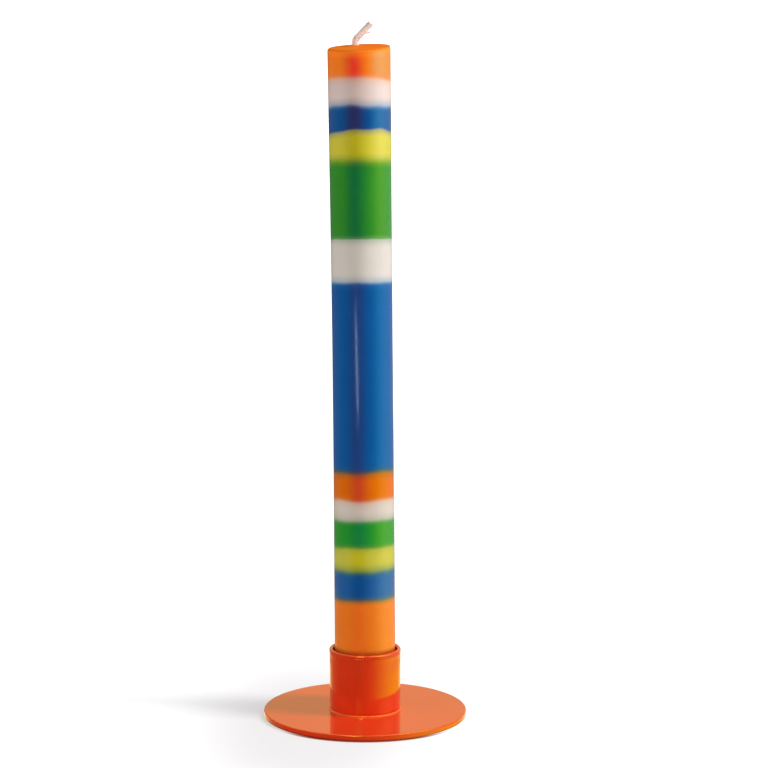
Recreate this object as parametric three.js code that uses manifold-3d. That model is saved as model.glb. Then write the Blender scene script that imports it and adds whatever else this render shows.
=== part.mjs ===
// Striped candle, poured in thirteen layers round one wick, standing in a painted steel stand.
// Millimetres, +Z up. The origin is the middle of the stand's underside, and -Y is the front.

import * as THREE from 'three';
import { mergeVertices } from 'three/addons/utils/BufferGeometryUtils.js';
import Module from 'manifold-3d';

const wasm = await Module();
wasm.setup();

// Candle outline: slightly waisted, a little bowed, and leaning to the left in its loose socket
const CANDLE_LENGTH = 249.7;
const FOOT_DIAMETER = 22.8;
const WAIST_DIAMETER = 22.28;
const TOP_DIAMETER = 23.1;
const WAIST_HEIGHT = 120;
const WAIST_POWER = 1.5;
const BOW = 0.25;
const LEAN = THREE.MathUtils.degToRad(0.49);
const FOOT_EDGE_RADIUS = 0.6;
const SHOULDER_RADIUS = 1.0;

// Heights of the bands from the top down. The foot band takes up the rest of the length.
const TOP_ORANGE_BAND = 12.2;
const TOP_WHITE_BAND = 10.3;
const TOP_BLUE_BAND = 9.6;
const TOP_YELLOW_BAND = 9.7;
const TOP_GREEN_BAND = 29.3;
const MIDDLE_WHITE_BAND = 16.1;
const LONG_BLUE_BAND = 70.5;
const MIDDLE_ORANGE_BAND = 10.1;
const LOW_WHITE_BAND = 8.5;
const LOW_GREEN_BAND = 10.5;
const LOW_YELLOW_BAND = 8.6;
const LOW_BLUE_BAND = 11.3;

// Poured layers from the top down. front and right say how many degrees the layer's upper face
// climbs towards the candle's front and right, because no pour set quite level.
const LAYERS_FROM_TOP = [
  { colour: 'orange', height: TOP_ORANGE_BAND, front: 0, right: 1.5 },
  { colour: 'white', height: TOP_WHITE_BAND, front: 11.5, right: -0.3 },
  { colour: 'blue', height: TOP_BLUE_BAND, front: 10.0, right: -1.3 },
  { colour: 'yellow', height: TOP_YELLOW_BAND, front: 13.4, right: 2.5 },
  { colour: 'green', height: TOP_GREEN_BAND, front: 5.6, right: -0.5 },
  { colour: 'white', height: MIDDLE_WHITE_BAND, front: 8.6, right: 0.8 },
  { colour: 'blue', height: LONG_BLUE_BAND, front: 7.3, right: 0 },
  { colour: 'orange', height: MIDDLE_ORANGE_BAND, front: 2.8, right: 2.3 },
  { colour: 'white', height: LOW_WHITE_BAND, front: -1.0, right: 1.3 },
  { colour: 'green', height: LOW_GREEN_BAND, front: 3.3, right: 1.0 },
  { colour: 'yellow', height: LOW_YELLOW_BAND, front: 6.1, right: 1.3 },
  { colour: 'blue', height: LOW_BLUE_BAND, front: 2.5, right: 1.0 },
];
const FOOT_LAYER = { colour: 'orange', front: 4.6, right: 1.5 };

// Wick: a cotton braid from the foot to above the wax, off centre at the top, with a bent, split end
const WICK_WIDTH = 2.3;
const WICK_THICKNESS = 1.8;
const WICK_CLEARANCE = 0.2;
const WICK_SHIFT = -1.3;
const WICK_UPRIGHT = 2.2;
const WICK_BEND_RADIUS = 2.0;
const WICK_BEND = THREE.MathUtils.degToRad(46);
const WICK_BENT_LENGTH = 6.9;
const WICK_TIP_WIDTH = 1.5;
const STRAND_WIDTH = 0.9;
const STRAND_LENGTH = 3.2;
const STRAND_BEND = THREE.MathUtils.degToRad(78);
const STRAND_START = 1.9;
const MENISCUS_HEIGHT = 0.5;
const MENISCUS_REACH = 1.6;

// Stand: a round sheet plate with a short tube welded on it
const PLATE_DIAMETER = 76.3;
const PLATE_THICKNESS = 2.1;
const PLATE_EDGE_RADIUS = 0.5;
const COLLAR_CLEARANCE = 0.85;
const COLLAR_WALL = 1.1;
const COLLAR_HEIGHT = 23.3;
const LIP_HEIGHT = 1.7;
const LIP_PROUD = 0.1;
const WELD_LEG = 0.8;
const WELD_TOE = 0.08;
const WELD_START_WIDTH = 2.4;
const WELD_START_DEPTH = 1.9;
const WELD_START_HEIGHT = 0.9;
const WELD_START_ANGLE = THREE.MathUtils.degToRad(-99);

// Where the candle stands in its socket
const SEAT_GAP = 0.3;
const FOOT_SHIFT = 0.2;

// Facets
const STAND_STEPS = 72;
const WAX_STEPS = 48;
const WAX_SPANS = 16;
const WICK_SIDES = 16;
const WICK_SPANS = 8;
const ARC_STEPS = 6;

const COLOURS = {
  orange: '#e8741c',
  blue: '#1f5aa6',
  yellow: '#d8cf3a',
  green: '#259a33',
  white: '#e6dcd3',
  cotton: '#eadccb',
  paint: '#df5a1e',
};
const FINISHES = {
  wax: { roughness: 0.35, metalness: 0 },
  cotton: { roughness: 0.9, metalness: 0 },
  paint: { roughness: 0.15, metalness: 0 },
};

const bandsAboveFoot = LAYERS_FROM_TOP.reduce((sum, layer) => sum + layer.height, 0);
const layers = [{ ...FOOT_LAYER, height: CANDLE_LENGTH - bandsAboveFoot }, ...LAYERS_FROM_TOP.toReversed()];
const collarBoreRadius = FOOT_DIAMETER / 2 + COLLAR_CLEARANCE;
const collarRadius = collarBoreRadius + COLLAR_WALL;
const collarTop = PLATE_THICKNESS + COLLAR_HEIGHT;

// Points on an arc of a half outline, the first coordinate being the radius and the second the height.
function arc(x, z, radius, from, to) {
  const points = [];
  for (let step = 0; step <= ARC_STEPS; step++) {
    const angle = from + ((to - from) * step) / ARC_STEPS;
    points.push(new THREE.Vector2(x + radius * Math.cos(angle), z + radius * Math.sin(angle)));
  }
  return points;
}

// A solid turned about the Z axis from its half outline.
function turned(outline, steps = STAND_STEPS) {
  const geometry = new THREE.LatheGeometry(outline, steps);
  geometry.rotateX(Math.PI / 2);
  return geometry;
}

// The flat plate with its rounded upper and lower edges.
function plate() {
  const radius = PLATE_DIAMETER / 2;
  const edge = Math.min(PLATE_EDGE_RADIUS, PLATE_THICKNESS / 2.2);
  return turned([
    new THREE.Vector2(0, 0),
    ...arc(radius - edge, edge, edge, -Math.PI / 2, 0),
    ...arc(radius - edge, PLATE_THICKNESS - edge, edge, 0, Math.PI / 2),
    new THREE.Vector2(0, PLATE_THICKNESS),
  ]);
}

// The tube that the candle stands in. Its wall swells a little below a fully rounded rim.
function collar() {
  const rimRadius = (COLLAR_WALL + LIP_PROUD) / 2;
  const rimCentre = collarBoreRadius + rimRadius;
  const lipStart = collarTop - Math.max(LIP_HEIGHT, 2 * rimRadius);
  const swell = [];
  for (let step = 0; step < ARC_STEPS; step++) {
    const share = step / ARC_STEPS;
    const proud = LIP_PROUD * THREE.MathUtils.smoothstep(share, 0, 1);
    const z = THREE.MathUtils.lerp(lipStart, collarTop - rimRadius, share);
    swell.push(new THREE.Vector2(collarRadius + proud, z));
  }
  const foot = new THREE.Vector2(collarRadius, PLATE_THICKNESS);
  return turned([
    foot,
    ...swell,
    ...arc(rimCentre, collarTop - rimRadius, rimRadius, 0, Math.PI),
    new THREE.Vector2(collarBoreRadius, PLATE_THICKNESS),
    foot.clone(),
  ]);
}

// The hollow fillet of weld and paint in the corner between collar and plate.
function weldRing() {
  const leg = Math.min(WELD_LEG, COLLAR_HEIGHT / 3);
  const corner = new THREE.Vector2(collarRadius, PLATE_THICKNESS);
  const hollow = leg - WELD_TOE;
  return turned([
    corner,
    new THREE.Vector2(collarRadius + leg, PLATE_THICKNESS),
    ...arc(collarRadius + leg, PLATE_THICKNESS + leg, hollow, -Math.PI / 2, -Math.PI),
    new THREE.Vector2(collarRadius, PLATE_THICKNESS + leg),
    corner.clone(),
  ]);
}

// The low lump where the weld starts and ends, a flat-bottomed dome just outside the collar.
function weldStart() {
  const dome = arc(0, 0, 1, 0, Math.PI / 2);
  dome[ARC_STEPS].x = 0;
  const geometry = turned([new THREE.Vector2(0, 0), ...dome], WICK_SIDES);
  geometry.scale(WELD_START_DEPTH / 2, WELD_START_WIDTH / 2, WELD_START_HEIGHT);
  geometry.translate(collarRadius + WELD_TOE + WELD_START_DEPTH / 2, 0, PLATE_THICKNESS);
  geometry.rotateZ(WELD_START_ANGLE);
  return geometry;
}

// Sideways offset of the candle's middle line at a height, from its bow.
function centreX(z) {
  const share = THREE.MathUtils.clamp(z / CANDLE_LENGTH, 0, 1);
  return BOW * (1 - (2 * share - 1) ** 2);
}

// Sideways offset of the wick at a height: it follows the bow and wanders off to one side.
function wickX(z) {
  const share = THREE.MathUtils.clamp(z / CANDLE_LENGTH, 0, 1);
  return centreX(z) + WICK_SHIFT * share;
}

// Radius of the wax at a height, least at the waist.
function waxRadius(z) {
  const below = z < WAIST_HEIGHT;
  const end = below ? 0 : CANDLE_LENGTH;
  const endRadius = (below ? FOOT_DIAMETER : TOP_DIAMETER) / 2;
  const share = Math.abs((z - WAIST_HEIGHT) / (end - WAIST_HEIGHT)) ** WAIST_POWER;
  return THREE.MathUtils.lerp(WAIST_DIAMETER / 2, endRadius, share);
}

// The faces between pours, from the foot's flat face to the candle's top.
function pourFaces() {
  const faces = [{ height: 0, front: 0, right: 0 }];
  let height = 0;
  for (const layer of layers) {
    height += layer.height;
    faces.push({ height, front: layer.front, right: layer.right });
  }
  return faces;
}

function faceHeight(face, x, y) {
  const slopeRight = Math.tan(THREE.MathUtils.degToRad(face.right));
  const slopeFront = Math.tan(THREE.MathUtils.degToRad(face.front));
  return face.height + slopeRight * x - slopeFront * y;
}

// One point of a layer. A ring lies on the outer surface (inset 0) or inside it, or, with fromBore,
// on the wick's bore or outside it. level runs from the lower face, 0, to the upper face, 1.
function waxPoint(angle, ring, lower, upper) {
  const along = Math.cos(angle);
  const across = Math.sin(angle);
  let z = THREE.MathUtils.lerp(lower.height, upper.height, ring.level);
  let x = 0;
  let y = 0;
  // The height follows the tilted faces and the radius follows the height, so both settle together.
  for (let round = 0; round < 6; round++) {
    if (ring.fromBore === undefined) {
      x = centreX(z) + (waxRadius(z) - ring.inset) * along;
      y = (waxRadius(z) - ring.inset) * across;
    } else {
      const reach = WICK_CLEARANCE + ring.fromBore;
      x = wickX(z) + (WICK_WIDTH / 2 + reach) * along;
      y = (WICK_THICKNESS / 2 + reach) * across;
    }
    z = THREE.MathUtils.lerp(faceHeight(lower, x, y), faceHeight(upper, x, y), ring.level) + ring.lift;
  }
  return new THREE.Vector3(x, y, z);
}

// The rings of one layer in a closed loop: along its lower face, up its outside, in over its upper
// face and down its bore. The first layer has a rounded foot edge, and the last one a soft
// shoulder and a small rise of wax round the wick.
function layerRings(index, height) {
  const isFirst = index === 0;
  const isLast = index === layers.length - 1;
  const rings = [{ level: 0, lift: 0, fromBore: 0 }];
  if (isFirst) {
    for (const point of arc(0, 0, FOOT_EDGE_RADIUS, -Math.PI / 2, 0)) {
      const inset = FOOT_EDGE_RADIUS - point.x;
      rings.push({ level: 0, lift: FOOT_EDGE_RADIUS + point.y, inset });
    }
  } else {
    rings.push({ level: 0, lift: 0, inset: 0 });
  }
  const spans = Math.max(1, Math.round((WAX_SPANS * height) / CANDLE_LENGTH));
  for (let span = 1; span < spans; span++) {
    rings.push({ level: span / spans, lift: 0, inset: 0 });
  }
  if (isLast) {
    for (const point of arc(0, 0, SHOULDER_RADIUS, 0, Math.PI / 2)) {
      const inset = SHOULDER_RADIUS - point.x;
      rings.push({ level: 1, lift: point.y - SHOULDER_RADIUS, inset });
    }
    for (const share of [1, 0.5, 0.25]) {
      rings.push({ level: 1, lift: MENISCUS_HEIGHT * (1 - share) ** 2, fromBore: MENISCUS_REACH * share });
    }
    rings.push({ level: 1, lift: MENISCUS_HEIGHT, fromBore: 0 });
  } else {
    rings.push({ level: 1, lift: 0, inset: 0 });
    rings.push({ level: 1, lift: 0, fromBore: 0 });
  }
  return rings;
}

// A solid skinned over rings of points. closed joins the last ring to the first, and otherwise
// each end is capped. Where rings step outwards the facets split one way and where they step
// inwards the other, so two layers that share a face share its facets too.
function skin(rings, closed) {
  const sides = rings[0].length;
  const positions = rings.flat().flatMap((point) => point.toArray());
  const triangles = [];
  const strips = closed ? rings.length : rings.length - 1;
  for (let row = 0; row < strips; row++) {
    const next = (row + 1) % rings.length;
    const outwards = rings[next][0].x > rings[row][0].x;
    for (let side = 0; side < sides; side++) {
      const turn = (side + 1) % sides;
      const a = row * sides + side;
      const b = row * sides + turn;
      const c = next * sides + turn;
      const d = next * sides + side;
      triangles.push(...(outwards ? [a, b, c, a, c, d] : [a, b, d, b, c, d]));
    }
  }
  if (!closed) {
    const last = (rings.length - 1) * sides;
    for (let side = 1; side < sides - 1; side++) {
      triangles.push(0, side + 1, side);
      triangles.push(last, last + side, last + side + 1);
    }
  }
  const geometry = new THREE.BufferGeometry();
  geometry.setAttribute('position', new THREE.Float32BufferAttribute(positions, 3));
  geometry.setIndex(triangles);
  return geometry;
}

function waxLayer(index, faces) {
  const rings = layerRings(index, layers[index].height).map((ring) => {
    const points = [];
    for (let step = 0; step < WAX_STEPS; step++) {
      const angle = (2 * Math.PI * step) / WAX_STEPS;
      points.push(waxPoint(angle, ring, faces[index], faces[index + 1]));
    }
    return points;
  });
  return skin(rings, true);
}

// An oval ring of points square to a route in the XZ plane. tilt is the route's angle from +Z.
function ovalRing(x, z, tilt, width, thickness) {
  const points = [];
  for (let side = 0; side < WICK_SIDES; side++) {
    const angle = (2 * Math.PI * side) / WICK_SIDES;
    const out = (width / 2) * Math.cos(angle);
    const y = (thickness / 2) * Math.sin(angle);
    points.push(new THREE.Vector3(x + out * Math.cos(tilt), y, z - out * Math.sin(tilt)));
  }
  return points;
}

// Rings of a strand that starts at a point, runs straight at one tilt and narrows to its end.
function strandRings(x, z, tilt, length, startSize, endSize) {
  const rings = [];
  for (let step = 0; step <= ARC_STEPS; step++) {
    const share = step / ARC_STEPS;
    // The last stretch closes in a round nose.
    const nose = step === ARC_STEPS ? 0.55 : 1;
    const width = nose * THREE.MathUtils.lerp(startSize.width, endSize.width, share);
    const thickness = nose * THREE.MathUtils.lerp(startSize.thickness, endSize.thickness, share);
    const along = length * share;
    rings.push(ovalRing(x + along * Math.sin(tilt), z + along * Math.cos(tilt), tilt, width, thickness));
  }
  return rings;
}

// The wick inside the wax, its upright stub, its bend and its slanting end.
function wickBody() {
  const rings = [];
  for (let span = 0; span <= WICK_SPANS; span++) {
    const z = (CANDLE_LENGTH * span) / WICK_SPANS;
    rings.push(ovalRing(wickX(z), z, 0, WICK_WIDTH, WICK_THICKNESS));
  }
  const x = wickX(CANDLE_LENGTH);
  const bendStart = CANDLE_LENGTH + WICK_UPRIGHT;
  for (let step = 0; step < ARC_STEPS; step++) {
    const tilt = (WICK_BEND * step) / ARC_STEPS;
    const bentX = x + WICK_BEND_RADIUS * (1 - Math.cos(tilt));
    const bentZ = bendStart + WICK_BEND_RADIUS * Math.sin(tilt);
    rings.push(ovalRing(bentX, bentZ, tilt, WICK_WIDTH, WICK_THICKNESS));
  }
  const end = bendEnd();
  const startSize = { width: WICK_WIDTH, thickness: WICK_THICKNESS };
  const endSize = { width: WICK_TIP_WIDTH, thickness: (WICK_TIP_WIDTH * WICK_THICKNESS) / WICK_WIDTH };
  rings.push(...strandRings(end.x, end.z, WICK_BEND, WICK_BENT_LENGTH, startSize, endSize));
  return skin(rings, false);
}

function bendEnd() {
  return {
    x: wickX(CANDLE_LENGTH) + WICK_BEND_RADIUS * (1 - Math.cos(WICK_BEND)),
    z: CANDLE_LENGTH + WICK_UPRIGHT + WICK_BEND_RADIUS * Math.sin(WICK_BEND),
  };
}

// The short strand that has come loose under the slanting end.
function looseStrand() {
  const end = bendEnd();
  const x = end.x + STRAND_START * Math.sin(WICK_BEND);
  const z = end.z + STRAND_START * Math.cos(WICK_BEND) - STRAND_WIDTH / 2;
  const startSize = { width: STRAND_WIDTH, thickness: STRAND_WIDTH };
  const endSize = { width: STRAND_WIDTH / 2, thickness: STRAND_WIDTH / 2 };
  return skin(strandRings(x, z, STRAND_BEND, STRAND_LENGTH, startSize, endSize), false);
}

// The solid of a closed geometry, for joining.
function solid(geometry) {
  const bare = geometry.clone();
  bare.deleteAttribute('normal');
  bare.deleteAttribute('uv');
  const merged = mergeVertices(bare, 1e-4);
  return new wasm.Manifold(new wasm.Mesh({
    numProp: 3,
    vertProperties: new Float32Array(merged.attributes.position.array),
    triVerts: new Uint32Array(merged.index.array),
  }));
}

function joined(first, second) {
  const mesh = solid(first).add(solid(second)).getMesh();
  const geometry = new THREE.BufferGeometry();
  geometry.setAttribute('position', new THREE.BufferAttribute(mesh.vertProperties, 3));
  geometry.setIndex(new THREE.BufferAttribute(mesh.triVerts, 1));
  return geometry;
}

function piece(name, geometry, colour, finish) {
  const material = new THREE.MeshStandardMaterial({ color: COLOURS[colour], ...FINISHES[finish] });
  const mesh = new THREE.Mesh(geometry, material);
  mesh.name = name;
  return mesh;
}

function stand() {
  const group = new THREE.Group();
  group.add(piece('base_plate', plate(), 'paint', 'paint'));
  group.add(piece('collar_tube', collar(), 'paint', 'paint'));
  group.add(piece('weld_bead', joined(weldRing(), weldStart()), 'paint', 'paint'));
  return group;
}

// The candle, built upright on its own middle line and then set leaning in the collar.
function candle() {
  const group = new THREE.Group();
  const faces = pourFaces();
  layers.forEach((layer, index) => {
    const number = String(index + 1).padStart(2, '0');
    group.add(piece(`wax_layer_${number}_${layer.colour}`, waxLayer(index, faces), layer.colour, 'wax'));
  });
  group.add(piece('wick', joined(wickBody(), looseStrand()), 'cotton', 'cotton'));
  group.position.set(FOOT_SHIFT, 0, PLATE_THICKNESS + SEAT_GAP);
  group.rotation.y = -LEAN;
  return group;
}

const part = new THREE.Group();
part.add(stand(), candle());

export default part;
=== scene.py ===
import math

import bpy
import numpy as np
from mathutils import Matrix, Vector, noise


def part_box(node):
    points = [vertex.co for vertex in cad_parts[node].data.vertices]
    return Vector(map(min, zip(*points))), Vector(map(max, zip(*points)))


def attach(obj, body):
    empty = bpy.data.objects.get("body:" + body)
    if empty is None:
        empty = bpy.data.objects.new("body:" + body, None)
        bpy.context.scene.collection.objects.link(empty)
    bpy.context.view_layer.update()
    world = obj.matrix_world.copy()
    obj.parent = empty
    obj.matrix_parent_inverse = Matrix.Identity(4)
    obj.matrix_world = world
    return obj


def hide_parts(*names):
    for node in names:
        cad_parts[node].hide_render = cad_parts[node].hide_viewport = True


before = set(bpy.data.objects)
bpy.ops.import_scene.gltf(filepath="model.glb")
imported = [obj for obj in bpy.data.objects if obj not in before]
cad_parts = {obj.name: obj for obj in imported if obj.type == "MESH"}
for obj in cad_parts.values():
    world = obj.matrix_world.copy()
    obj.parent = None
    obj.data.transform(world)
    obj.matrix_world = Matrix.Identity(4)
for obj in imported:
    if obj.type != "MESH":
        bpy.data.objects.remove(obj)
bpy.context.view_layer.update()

MM = 0.001

# Camera, as the photograph was taken
CAMERA_DISTANCE = 1.3415
CAMERA_HEIGHT = 0.3752
CAMERA_PITCH = math.radians(10.49)
CAMERA_YAW = math.radians(0.306)
CAMERA_LENS_MM = 171.77
CAMERA_SENSOR_MM = 36
CAMERA_CLIP = (0.05, 50)

# Candle outline in millimetres, as in the solids but 0.09 fuller, 0.09 further left and 0.3 higher at
# its top
CANDLE_LENGTH = 249.7
FOOT_RADIUS = 11.49
WAIST_RADIUS = 11.23
TOP_RADIUS = 11.64
WAIST_HEIGHT = 120
WAIST_POWER = 1.5
BOW = 0.25
LEAN = math.radians(0.49)
FOOT_SHIFT = 0.11
SEAT_GAP = 0.3
FOOT_EDGE_RADIUS = 0.6
SHOULDER_RADIUS = 1.0
MENISCUS_HEIGHT = 0.5
MENISCUS_REACH = 1.6
TOP_DOME = 0.2
TOP_SLOPE = 0.035
TOP_LIFT = 0.3
WAX_STEPS = 160
WAX_SPAN = 1.5
TOP_SHARES = (0.93, 0.8, 0.65, 0.5, 0.38, 0.28, 0.2, 0.14, 0.09, 0.05, 0.02, 0.0)
WICK_HOLE_DEPTH = 1.5
# Size of the wax's unevenness and its spacing
UNEVENNESS = ((0.05, 22), (0.02, 7))

# Wick in millimetres
WICK_WIDTH = 2.3
WICK_THICKNESS = 1.8
WICK_SHIFT = -1.3
WICK_UPRIGHT = 2.2
WICK_BEND_RADIUS = 2.0
WICK_BEND = math.radians(44)
WICK_BENT_LENGTH = 6.9
WICK_TIP_SHARE = 0.92
WICK_TIP_EXTRA = 0.9
WICK_FULLNESS = 1.12
WICK_LOWERED = 0.1
STRAND_START = 1.9
STRAND_LENGTH = 3.6
STRAND_BEND = math.radians(78)
STRAND_RADIUS = 0.47
STRAND_POINTS = 40
STRAND_TAPERS_FROM = 24
PLAIT_LENGTH = 6.4
YARN_RADIUS = 0.29
YARNS_EACH_WAY = 4
YARN_POINTS = 70
YARN_TWIST = 2.2
CORE_STEPS = 20
FIBRES_ON_YARN = 14
FIBRE_RADII = (0.045, 0.04, 0.03, 0.015)
FIBRE_SEED = 7

# Stand in millimetres, as in the solids but for the rim, which is raised and rolled in, and the
# weld, whose bead is smaller and whose lump is longer
PLATE_EDGE_RADIUS = 0.5
PLATE_LOWER_RADIUS = 0.12
PLATE_STEPS = 256
COLLAR_WALL = 1.1
COLLAR_STEPS = 192
LIP_HEIGHT = 1.7
LIP_PROUD = 0.1
LIP_ROLLED_IN = 0.2
LIP_RAISED = 0.35
# Drop below the rim of each point of the fine ridge under the lip, and how far it stands out
LIP_RIDGE = (
    (1.75, 0.02), (1.6, 0.09), (1.45, 0.1), (1.34, 0.04),
    (1.25, 0.02), (1.1, 0.03), (0.95, 0.06), (0.8, 0.09),
)
WELD_STEPS = 240
WELD_ROWS = 12
WELD_SUNK = 0.05
WELD_UNEVENNESS = 0.12
WELD_LEG = 0.6
WELD_TOE = 0.08
WELD_START_WIDTH = 2.4
WELD_START_DEPTH = 3.4
WELD_START_HEIGHT = 0.8
WELD_START_ANGLE = math.radians(-97)
WELD_START_SUNK = 0.03
WELD_START_UNEVENNESS = 0.05

# Paint
PAINT_COLOURS = ((0.66, 0.042, 0.009), (0.70, 0.047, 0.011))
PAINT_GLOSS_TINT = (1, 0.75, 0.1, 1)
PAINT_ROUGHNESS = (0.04, 0.07)
WELD_ROUGHNESS = (0.25, 0.35)
# The weld's paint is more orange than the plate's, a painted highlight for the lighter band along the
# bead; its green is divided by this
WELD_HIGHLIGHT_REDNESS = 0.5
# Painted shade on the lowest part of the plate's edge, which faces down to the floor, and the heights
# in metres over which it fades out
UNDERSIDE_SHADE_COLOUR = (0.3, 0.018, 0.006, 1)
UNDERSIDE_SHADE_HEIGHT = (0.0001, 0.0006)

# Strength of the lamps and of the room, where 1 is white
WALL_SEEN = 0.93
LAMP_SEEN = 7.0
SMALL_LAMP_SEEN = 10.0
CEILING_SEEN = 1.5
BACK_SEEN = 1.5
BOUNCE_GIVEN = 0.85
CEILING_GIVEN = 0.3
ROOM_GIVEN = 0.34
KEY_RADIANCE = 22.4
STREAK_RADIANCE = 34.0

# Lamps in metres
KEY_AZIMUTH = math.radians(77)
KEY_RISE = math.radians(38)
KEY_DISTANCE = 1.32
KEY_TARGET = (0, 0, 0.08)
KEY_SIZE = (0.33, 0.6)
STREAK_PLACE = (-0.0408, -0.1034, 0.118)
STREAK_TARGET = (-0.0022, -0.0111, 0.136)
STREAK_SIZE = (0.010, 0.038)
STREAK_TINT = (1, 0.2, 0.25)
STREAK_ROLL = math.radians(15)

# Floor in metres, with painted shade in a darker oval round the plate, where the floor glows less for
# the camera, and painted light past the oval's edge that lifts the candle's cast shadow, and a
# painted contact shadow, a thin dark line along the front of the plate's edge, both for the camera
# alone
FLOOR_RADIUS = 6
FLOOR_COLOUR = (0.8, 0.785, 0.798, 1)
FLOOR_SEEN_COLOUR = (0.487, 0.478, 0.486, 1)
FLOOR_GLOW = 0.3
FLOOR_GLOW_ALL_OVER = 0.366
SHADE_OVAL_CENTRE = (-0.020, -0.020, 0)
SHADE_OVAL_WIDTH = 0.06
SHADE_OVAL_DEPTH = 0.13
SHADE_OVAL_EDGE = (0.25, 1.15)
OVAL_FAR = (2, 12)
# Painted contact shadow on the floor: its colour, its reach beyond the plate in millimetres and where
# it fades in towards the front
CONTACT_SHADOW_COLOUR = (0.25, 0.05, 0.03, 1)
CONTACT_SHADOW_REACH_MM = (0.8, 2.4)
CONTACT_SHADOW_FRONT = (-0.022, -0.034)

# Where the parts of the room lie, from the edge to the full strength of each: a height is the
# upward part of a direction, and an edge is how far a direction points to the part's azimuth
COLLAR_SEES_BELOW = (-0.2575, -0.2535)
COLLAR_SEES_ABOVE = (-0.36, -0.30)
SIDES_HEIGHT = (0.3, 0.95)
WALL_HEIGHT = (0.0, 0.08)
WALL_EDGE = (0.3, 0.8)
BACK_EDGE = (0.55, 1.0)
CEILING_HEIGHT = (0.3, 0.8)
LAMP_HEIGHT = (0.22, 0.45)
LAMP_AZIMUTH = 70
LAMP_EDGE = (0.82, 0.97)
SMALL_LAMP_AZIMUTH = -19
SMALL_LAMP_EDGE = (0.96, 0.995)
BOUNCE_AZIMUTH = -75
BOUNCE_EDGE = (0.2, 1.0)
OVERHEAD_HEIGHT = (0.45, 0.95)
RIGHT_EDGE = (-0.3, 0.3)

# Colours of the room
WHITE = (1, 1, 1, 1)
LOW_LEFT_COLOUR = (1, 0.75, 0.3, 1)
LOW_RIGHT_COLOUR = (0.55, 1, 0, 1)
BACK_COLOUR = (1, 0.8, 0.4, 1)
WALL_COLOUR = (1, 0.83, 0.4, 1)

# What the gloss mirrors round about: azimuth in degrees from the camera to the right, strength as
# the candle sees it, and strength further down, as the collar sees it
GLOSS_SCALE = 4.0
GLOSS_AROUND = [
    (-180, 0, 0), (-160, 0.12, 0.1), (-140, 0.16, 0.45), (-120, 0.18, 0.62), (-100, 0.23, 0),
    (-80, 0.15, 0), (-60, 0.06, 0), (-40, 0.03, 0), (-20, 0.03, 0), (0, 0.01, 0), (12, 0.0, 0.06),
    (24, 0.0, 0.45), (36, 0.08, 1.15), (48, 0.55, 2.1), (60, 1.1, 3.0), (72, 1.5, 3.6),
    (84, 1.5, 3.75), (98, 1.2, 3.5), (112, 0.78, 2.8), (128, 0.57, 1.8), (144, 0.48, 0.9),
    (162, 0.25, 0.25), (180, 0, 0),
]

_, plate_high = [Vector(c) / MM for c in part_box("base_plate")]
_, collar_high = [Vector(c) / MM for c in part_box("collar_tube")]
PLATE_RADIUS = plate_high.x
PLATE_TOP = plate_high.z
COLLAR_RADIUS = collar_high.x - LIP_PROUD
COLLAR_BORE = COLLAR_RADIUS - COLLAR_WALL
COLLAR_TOP = collar_high.z + LIP_RAISED

WAX_NODES = sorted(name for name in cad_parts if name.startswith("wax_layer_"))


# Camera
def make_camera():
    data = bpy.data.cameras.new("camera")
    data.lens = CAMERA_LENS_MM
    data.sensor_width = CAMERA_SENSOR_MM
    data.clip_start, data.clip_end = CAMERA_CLIP
    camera = bpy.data.objects.new("camera", data)
    camera.location = (0, -CAMERA_DISTANCE, CAMERA_HEIGHT)
    camera.rotation_euler = (math.pi / 2 - CAMERA_PITCH, 0, -CAMERA_YAW)
    bpy.context.collection.objects.link(camera)
    bpy.context.scene.camera = camera


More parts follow.
